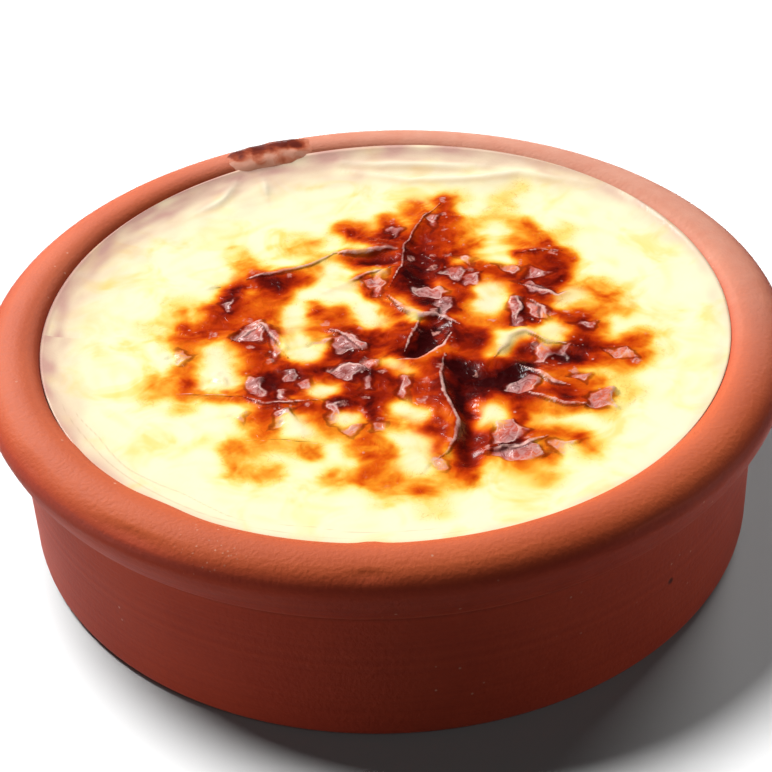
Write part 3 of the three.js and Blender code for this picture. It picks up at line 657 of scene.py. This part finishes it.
def pour_pudding():
    """A disc of quads for the skin, its edge pulled down inside the dish, closed by a flat bottom."""
    bare()
    bpy.ops.mesh.primitive_grid_add(x_subdivisions=SKIN_CELLS, y_subdivisions=SKIN_CELLS, size=2)
    pudding = bpy.context.object
    pudding.name = "baked_rice_pudding"
    co = np.empty(len(pudding.data.vertices) * 3)
    pudding.data.vertices.foreach_get("co", co)
    co = co.reshape(-1, 3)
    u, v = co[:, 0] * (0.8 + 0.2 * co[:, 0] ** 2), co[:, 1] * (0.8 + 0.2 * co[:, 1] ** 2)
    dx, dy = u * np.sqrt(1 - v * v / 2), v * np.sqrt(1 - u * u / 2)
    share, bearing = np.hypot(dx, dy), np.arctan2(dy, dx)
    contact = SKIN_CONTACT + CONTACT_TILT_BACK * np.sin(bearing) + CONTACT_TILT_RIGHT * np.cos(bearing)
    contact += CONTACT_CLIMB * np.clip(0.35 + np.sin(bearing - 0.3), 0, 1)
    edge = np.array([inside_radius(h) for h in contact]) - WALL_TOUCH
    radius = share * edge
    x, y = radius * np.cos(bearing) / MM, radius * np.sin(bearing) / MM
    inwards = (edge - radius) / MM
    height = LEVEL + (contact - LEVEL) * np.exp(-inwards * MM / MENISCUS_LENGTH)

    scorch = soften(scorch_field(x, y), 9)
    browned = smooth_step(0.3, 0.75, scorch)
    relief, lip, crease = np.zeros(x.shape), np.full(x.shape, 4.0), np.full(x.shape, 4.0)
    shade, shine = np.zeros(x.shape), np.zeros(x.shape)
    bend = 0.3 * wobble(x, y, 3.0, 11)
    for points, rise, steep, gentle, breadth in FOLDS:
        distance, passed = along_line(points, x + bend, y - bend)
        taper = np.sin(np.pi * np.clip(passed, 0.05, 0.95)) ** 0.6
        flank = np.abs(distance) / np.where(distance > 0, steep, gentle)
        relief = np.maximum(relief, rise * taper * np.exp(0.25 - np.sqrt(flank ** 2 + 0.0625)))
        if breadth == 0:
            # A fold of plain cream skin gets painted shade just in front of its crest and a painted
            # highlight along it
            before, _ = along_line(points, x + bend, y + 1.1 - bend)
            shade = np.maximum(shade, taper * np.exp(-(before / 0.8) ** 2))
            shine = np.maximum(shine, taper * np.exp(-(distance / 0.7) ** 2))
            continue
        breadth = 0.75 * breadth * taper + 0.01
        ending = np.where((passed <= 0) | (passed >= 1), 1.5, 0.0)
        lip = np.minimum(lip, np.abs(distance) / breadth + ending)
        # Where the painted shadow of the crease lies, just behind the lip
        behind = np.abs(distance - 0.45 * breadth - 0.12) / (0.5 * breadth + 0.12)
        crease = np.minimum(crease, behind + ending)
    sunk = np.zeros(x.shape)
    for points, depth, width in HOLLOWS:
        distance, _ = along_line(points, x, y)
        sunk += depth * np.exp(-(distance / width) ** 2)
    wx, wy = x + 1.2 * wobble(x, y, 5, 21), y + 1.2 * wobble(x, y, 5, 22)
    wrinkles = 0.22 * np.exp(-np.abs(wobble(wx, 1.4 * wy, 4.2, 23)) / 0.16)
    wrinkles += 0.09 * np.exp(-np.abs(wobble(wx, 1.2 * wy, 1.9, 24)) / 0.2)
    relief += browned * wrinkles - sunk
    relief += 0.16 * wobble(x, y, 9, 7) * smooth_step(0, 6, inwards)
    plate = np.full(x.shape, -3.0)
    torn_x, torn_y = x + 0.9 * wobble(x, y, 2.2, 31), y + 0.9 * wobble(x, y, 2.2, 32)
    buckle = 0.3 * wobble(x, 1.6 * y, 2.0, 33)
    for corners in PLATES:
        mx, my = np.mean(corners, axis=0)
        depth = inside_polygon(corners, torn_x, torn_y)
        plate = np.maximum(plate, depth)
        within = smooth_step(-0.7, 0.5, depth)
        middle = np.median(relief[depth > 0.0])
        tile = middle + PLATE_SLOPE_X * (x - mx) + PLATE_SLOPE_Y * (y - my) + buckle
        relief += within * (tile - relief)

    co[:, 0], co[:, 1] = x * MM, y * MM
    co[:, 2] = height + relief * smooth_step(0.0, 2.5, inwards) * MM
    pudding.data.vertices.foreach_set("co", co.ravel())
    turn = np.degrees(bearing)
    bearings, breadths, strengths = zip(*FILM_AND_SHADE)
    breadth = np.interp((turn + 45) % 360 - 45, bearings, breadths) * (1 + 0.5 * wobble(x, y, 5, 41))
    strength = np.interp((turn + 45) % 360 - 45, bearings, strengths)
    film = strength * np.exp(-np.maximum(inwards / np.maximum(breadth, 0.3), 0) ** 1.6)
    film *= 0.85 + 0.55 * wobble(turn * 0.3, inwards, 1.8, 43)
    # Thin rings of painted shade where the skin creases near the wall, strongest at the front left
    ring = np.minimum(np.abs(inwards - 2.1 - 0.5 * wobble(turn, 0 * turn, 14, 44)),
                      np.abs(inwards - 3.6 - 0.7 * wobble(turn, 0 * turn + 9, 11, 45)))
    ring += 0.6 * smooth_step(30, 75, np.abs((turn - 240 + 180) % 360 - 180))
    peach = strength * np.exp(-(inwards / (2.6 * np.maximum(breadth, 0.3))) ** 2)
    peach = np.maximum(peach, 0.7 * np.exp(-(inwards / 3.5) ** 2))
    for points, width, share in WINDOWS:
        distance = np.abs(along_line(points, x, y)[0])
        peach = np.maximum(peach, 0.8 * share * (1 - smooth_step(0, width + 1.5, distance)))
    streaks = np.maximum(wobble(turn * 0.4, inwards, 2.6, 42), 0)
    streaks *= smooth_step(2, 6, inwards) * (1 - browned)
    scorch = np.clip(scorch + 0.05 * sunk + 0.12 * streaks, 0, 1.1)
    layers = {"scorch": scorch, "film": film, "peach": peach, "lip": lip, "crease": crease, "plate": plate,
              "ring": ring, "shade": shade, "shine": shine}
    for name, values in layers.items():
        layer = pudding.data.attributes.new(name, "FLOAT", "POINT")
        layer.data.foreach_set("value", values.astype(np.float32))

    bpy.ops.object.mode_set(mode="EDIT")
    bpy.ops.mesh.select_mode(type="EDGE")
    bpy.ops.mesh.select_all(action="DESELECT")
    bpy.ops.mesh.select_non_manifold()
    bpy.ops.mesh.extrude_edges_move(TRANSFORM_OT_translate={"value": (0, 0, -6 * MM)})
    bpy.ops.transform.resize(value=(0.975, 0.975, 1), center_override=(0, 0, 0))
    bpy.ops.mesh.extrude_edges_move(TRANSFORM_OT_translate={"value": (0, 0, 0)})
    bpy.ops.transform.resize(value=(0.86, 0.86, 0), center_override=(0, 0, FLOOR_HEIGHT + 0.3 * MM))
    bpy.ops.mesh.edge_face_add()
    bpy.ops.mesh.select_all(action="SELECT")
    bpy.ops.mesh.normals_make_consistent(inside=False)
    bare()
    return pudding


def milk_skin_finish():
    skin = Finish("milk_skin")
    scorch = skin.laid("scorch")
    mottle = skin.noise(240, detail=3, roughness=0.5, distortion=0.8)
    fine = skin.noise(1100, detail=2)
    clouds = skin.noise(110, detail=3, distortion=0.8)
    near = scorch.between(0.05, 0.4)
    cooked = 0.92 * scorch + (mottle - 0.5) * 0.42 * near + (fine - 0.5) * 0.07 * near
    cooked = cooked + clouds.between(0.45, 0.72) * 0.2
    base = skin.ramp(cooked, [
        (0.00, srgb(255, 250, 208)), (0.12, srgb(254, 243, 178)), (0.24, srgb(255, 226, 124)),
        (0.36, srgb(252, 186, 66)), (0.47, srgb(244, 140, 28)), (0.58, srgb(226, 94, 10)),
        (0.69, srgb(194, 56, 4)), (0.80, srgb(146, 28, 3)), (0.90, srgb(98, 12, 4)), (1.00, srgb(52, 4, 5))])

    # Cream skin: peach tint, milky film at the wall with painted shade of the rim in it, thin rings of
    # painted crease shade, painted shade and highlights on soft folds, and fine brown hairs
    base = skin.mix(skin.laid("peach") * 0.5 * (1 - scorch.between(0.2, 0.5)), base, colour(255, 224, 190))
    # The film's pink-grey is partly the milk film's own colour and partly painted shade of the rim
    film = skin.laid("film") * (0.75 + 0.5 * skin.noise(160, detail=3))
    base = skin.mix(film.clamp(), base, colour(216, 170, 156))
    # Painted shade in thin creased rings near the wall
    base = skin.mix((1 - skin.laid("ring").between(0.05, 0.22)) * 0.35, base, colour(206, 176, 140))
    # Painted shade in front of cream folds and a painted highlight on their crests
    base = skin.mix(skin.laid("shade") * 0.5, base, colour(228, 186, 140))
    base = skin.mix(skin.laid("shine") * 0.6, base, colour(255, 250, 226))
    hairs = 1 - abs(skin.noise(420, detail=2, distortion=1.4) - 0.5).between(0.004, 0.016)
    hairs = hairs * scorch.between(0.04, 0.2) * (1 - scorch.between(0.3, 0.6))
    base = skin.mix(hairs * 0.3, base, colour(206, 130, 50))

    # Browned skin: small pinkish flakes of painted glint, and plates in a painted highlight with painted
    # shade round them and brighter painted highlights on their hems
    veins = skin.noise(620, detail=2, distortion=2.0).between(0.35, 0.62)
    cells, chosen = skin.cells(330)
    # Painted glints: small pinkish flakes on the browned skin
    flake_glints = 1 - (cells + (skin.noise(800, detail=2) - 0.5) * 0.9).between(0.12, 0.3)
    flake_glints = flake_glints * chosen.between(0.68, 0.72) * scorch.between(0.42, 0.6) * (0.15 + 0.6 * veins)
    base = skin.mix(flake_glints, base, colour(226, 160, 146))
    ragged = skin.laid("plate") + (skin.noise(650, detail=2) - 0.5) * 1.3
    tile = ragged.between(-0.35, 0.3) * scorch.between(0.12, 0.35)
    # Painted shade in a dark ring round each plate
    plate_edge_shade = (1 - abs(ragged + 0.5).between(0.1, 0.55)) * scorch.between(0.3, 0.6)
    base = skin.mix(plate_edge_shade * 0.5, base, colour(72, 10, 8))
    # Painted highlight: the plates' pale pink stands in for light reflected off them
    base = skin.mix(tile * (0.2 + 0.5 * veins), base, colour(212, 158, 154))
    # Painted highlight along the plates' hems
    plate_hem_highlight = (1 - abs(ragged - 0.1).between(0.05, 0.3)) * skin.noise(300, detail=2).between(0.42, 0.6)
    base = skin.mix(plate_hem_highlight * tile * 0.6, base, colour(248, 214, 202))

    # Folds: painted shadow in the crease behind a pale broken lip of painted highlight; small pale dots of
    # painted glint on the crust
    # Painted shadow in the crease behind each fold's lip
    crease = 1 - (skin.laid("crease") + (fine - 0.5) * 0.6).between(0.2, 0.9)
    base = skin.mix(crease * scorch.between(0.1, 0.4) * 0.6, base, colour(50, 6, 6))
    broken = skin.noise(380, detail=3, distortion=0.6).between(0.34, 0.56)
    # Painted highlight: a pale broken line along each fold's lip
    lip = (1 - (skin.laid("lip") + (fine - 0.5) * 0.6).between(0.1, 0.52)) * (0.35 + 0.65 * broken)
    # Painted glints: small pale dots scattered on the crust
    cells, chosen = skin.cells(820)
    bead_glints = (1 - cells.between(0.12, 0.24)) * chosen.between(0.8, 0.84)
    bead_glints = bead_glints * scorch.between(0.4, 0.6) * clouds.between(0.46, 0.58)
    pale_highlights = (lip * scorch.between(0.06, 0.3) * 0.85 + bead_glints * 0.45).clamp()
    base = skin.mix(pale_highlights, base, colour(244, 196, 184))
    ridges = 1 - abs(skin.noise(360, detail=2, distortion=1.0) - 0.5).between(0.0, 0.12)
    relief = mottle * 0.5 + fine * 0.2 + ridges * 0.2 * scorch.between(0.3, 0.6)
    skin.set(Base_Color=base, Roughness=0.27, Specular_IOR_Level=0.26,
             Normal=skin.bump(relief, 0.00035, 0.5))
    return skin.material


pudding = pour_pudding()
bare()
pudding.select_set(True)
bpy.context.view_layer.objects.active = pudding
bpy.ops.object.shade_smooth()
pudding.data.materials.append(milk_skin_finish())
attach(pudding, "root")
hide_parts("rice_pudding")

# The spill
# Milk that boiled over the rim at the back left and baked on: a thin glossy crust, dark brown outside
# and on the crest, and paler towards the pudding.

# Its reach in degrees: round the dish, and round the rim's section
SPILL_FROM, SPILL_TO = 101, 119
SPILL_INSIDE, SPILL_OUTSIDE = 186, 30
SPILL_THICKNESS = 0.75 * MM
SPILL_EDGE = -0.25 * MM
SPILL_STEPS, SPILL_ACROSS = 72, 40


def spill_crust():
    """A sheet bent over the rim, thickest in the middle, whose edge sinks into the clay."""
    bare()
    bpy.ops.mesh.primitive_grid_add(x_subdivisions=SPILL_STEPS, y_subdivisions=SPILL_ACROSS, size=2)
    spill = bpy.context.object
    spill.name = "boiled_over_crust"
    baked = []
    for vertex in spill.data.vertices:
        around, across = (vertex.co.x + 1) / 2, (vertex.co.y + 1) / 2
        belly = math.sin(math.pi * around) ** 0.6
        wave = noise.noise(Vector((around * 6, across * 4, 1.0)))
        outside = 95 + (SPILL_OUTSIDE - 95) * belly + 14 * wave
        section = outside + (SPILL_INSIDE - outside) * across
        bearing = math.radians(SPILL_FROM + (SPILL_TO - SPILL_FROM) * around)
        swell = min(1.0, 3 * min(around, 1 - around, across, 1.2 - across))
        lumps = 0.7 + 0.35 * noise.noise(Vector((around * 7, across * 5, 3.0)))
        offset = SPILL_EDGE + (SPILL_THICKNESS * lumps - SPILL_EDGE) * max(0.0, swell) ** 0.7
        radius, height = rim_point(section, offset)
        vertex.co = (radius * math.cos(bearing), radius * math.sin(bearing), height)
        ends = min(1.0, 5 * min(around, 1 - around))
        baked.append((1.3 - 1.55 * across - 0.15 * around + 0.55 * wave) * ends)
    layer = spill.data.attributes.new("baked", "FLOAT", "POINT")
    layer.data.foreach_set("value", np.array(baked, dtype=np.float32))
    bpy.ops.object.mode_set(mode="EDIT")
    bpy.ops.mesh.select_all(action="SELECT")
    bpy.ops.mesh.solidify(thickness=0.3 * MM)
    bpy.ops.mesh.normals_make_consistent(inside=False)
    bare()
    return spill


def scorched_milk_finish():
    milk = Finish("scorched_milk")
    patches = milk.noise(420, detail=4, distortion=0.6)
    brown = milk.ramp(milk.laid("baked") + (patches - 0.5) * 1.3, [
        (0.0, srgb(222, 158, 134)), (0.25, srgb(208, 124, 94)), (0.5, srgb(166, 76, 48)),
        (0.8, srgb(118, 44, 28)), (1.0, srgb(104, 36, 24))])
    milk.set(Base_Color=brown, Roughness=0.4, Specular_IOR_Level=0.4,
             Normal=milk.bump(patches, 0.0003, 0.6))
    return milk.material


spill = spill_crust()
bare()
spill.select_set(True)
bpy.context.view_layer.objects.active = spill
bpy.ops.object.shade_smooth()
spill.data.materials.append(scorched_milk_finish())
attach(spill, "root")
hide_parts("rim_spill")

# The studio
# A plain pale floor, soft round lights of which each lights the clay, the food or the floor alone, with the
# brightest behind and to the left, and the camera where the photograph was taken from.

CAMERA_PLACE = Vector((0, -243.3, 197.2)) * MM
CAMERA_PITCH = math.radians(36.05)
CAMERA_ROLL = math.radians(-2.52)
FOCAL_PIXELS = 1800
FRAME_PIXELS = 772
SENSOR_WIDTH = 36


def area_light(name, place, size, watts, lit, matte=True, gloss=True):
    """A round soft light aimed at the dish, which lights only the things named."""
    data = bpy.data.lights.new(name, "AREA")
    data.shape = "DISK"
    data.size, data.energy = size, watts
    light = bpy.data.objects.new(name, data)
    light.location = place
    light.rotation_euler = (Vector((0, 0, 0.03)) - Vector(place)).to_track_quat("-Z", "Y").to_euler()
    light.light_linking.receiver_collection = lit
    light.visible_diffuse = matte
    light.visible_glossy = gloss
    bpy.context.scene.collection.objects.link(light)


def lit_group(name, pieces):
    group = bpy.data.collections.new(name)
    for piece in pieces:
        group.objects.link(piece)
    return group


bare()
bpy.ops.mesh.primitive_plane_add(size=6)
floor = bpy.context.object
floor.name = "floor"
floor.visible_diffuse = False
paper = Finish("paper")
paper.set(Base_Color=colour(130, 130, 130), Roughness=0.9, Specular_IOR_Level=0.1)
floor.data.materials.append(paper.material)

clay_only = lit_group("clay_only", [dish])
skin_only = lit_group("skin_only", [pudding, spill])
table = lit_group("table", [floor])
area_light("softbox", (-0.72, 1.12, 1.06), 0.9, 42.0, clay_only)
area_light("back_strip", (0.5, 1.5, 0.9), 0.7, 12.0, clay_only, matte=False)
area_light("skin_light", (-1.02, 0.85, 1.06), 0.55, 24.0, skin_only)
area_light("overhead", (-0.1, 0.2, 1.8), 1.2, 22.0, skin_only, gloss=False)
area_light("left_strip", (-0.94, -0.18, 0.12), 0.35, 3.2, clay_only)
area_light("right_strip", (0.95, -0.08, 0.12), 0.3, 1.6, clay_only)
area_light("front_fill", (0, -1.3, 0.10), 0.5, 0.6, clay_only)
area_light("ceiling_light", (-0.55, 0.40, 1.5), 0.65, 150.0, table)
area_light("floor_side", (0.6, 1.0, 0.6), 0.6, 22.0, table)
area_light("floor_fill", (0.4, -1.2, 1.2), 0.8, 4.0, table)

world = bpy.data.worlds.new("studio")
bpy.context.scene.world = world
world.use_nodes = True
world.node_tree.nodes["Background"].inputs["Color"].default_value = (1, 1, 1, 1)
world.node_tree.nodes["Background"].inputs["Strength"].default_value = 0.03

camera_data = bpy.data.cameras.new("camera")
camera_data.sensor_width = SENSOR_WIDTH
camera_data.lens = SENSOR_WIDTH * FOCAL_PIXELS / FRAME_PIXELS
camera_data.clip_start, camera_data.clip_end = 0.01, 20
camera = bpy.data.objects.new("camera", camera_data)
back = Vector((0, -math.cos(CAMERA_PITCH), math.sin(CAMERA_PITCH)))
level_right = Vector((1, 0, 0))
level_up = back.cross(level_right)
right = math.cos(CAMERA_ROLL) * level_right + math.sin(CAMERA_ROLL) * level_up
up = back.cross(right)
camera.matrix_world = Matrix((
    (right.x, up.x, back.x, CAMERA_PLACE.x), (right.y, up.y, back.y, CAMERA_PLACE.y),
    (right.z, up.z, back.z, CAMERA_PLACE.z), (0, 0, 0, 1)))
bpy.context.scene.collection.objects.link(camera)
bpy.context.scene.camera = camera
bpy.context.scene.view_settings.view_transform = "Standard"
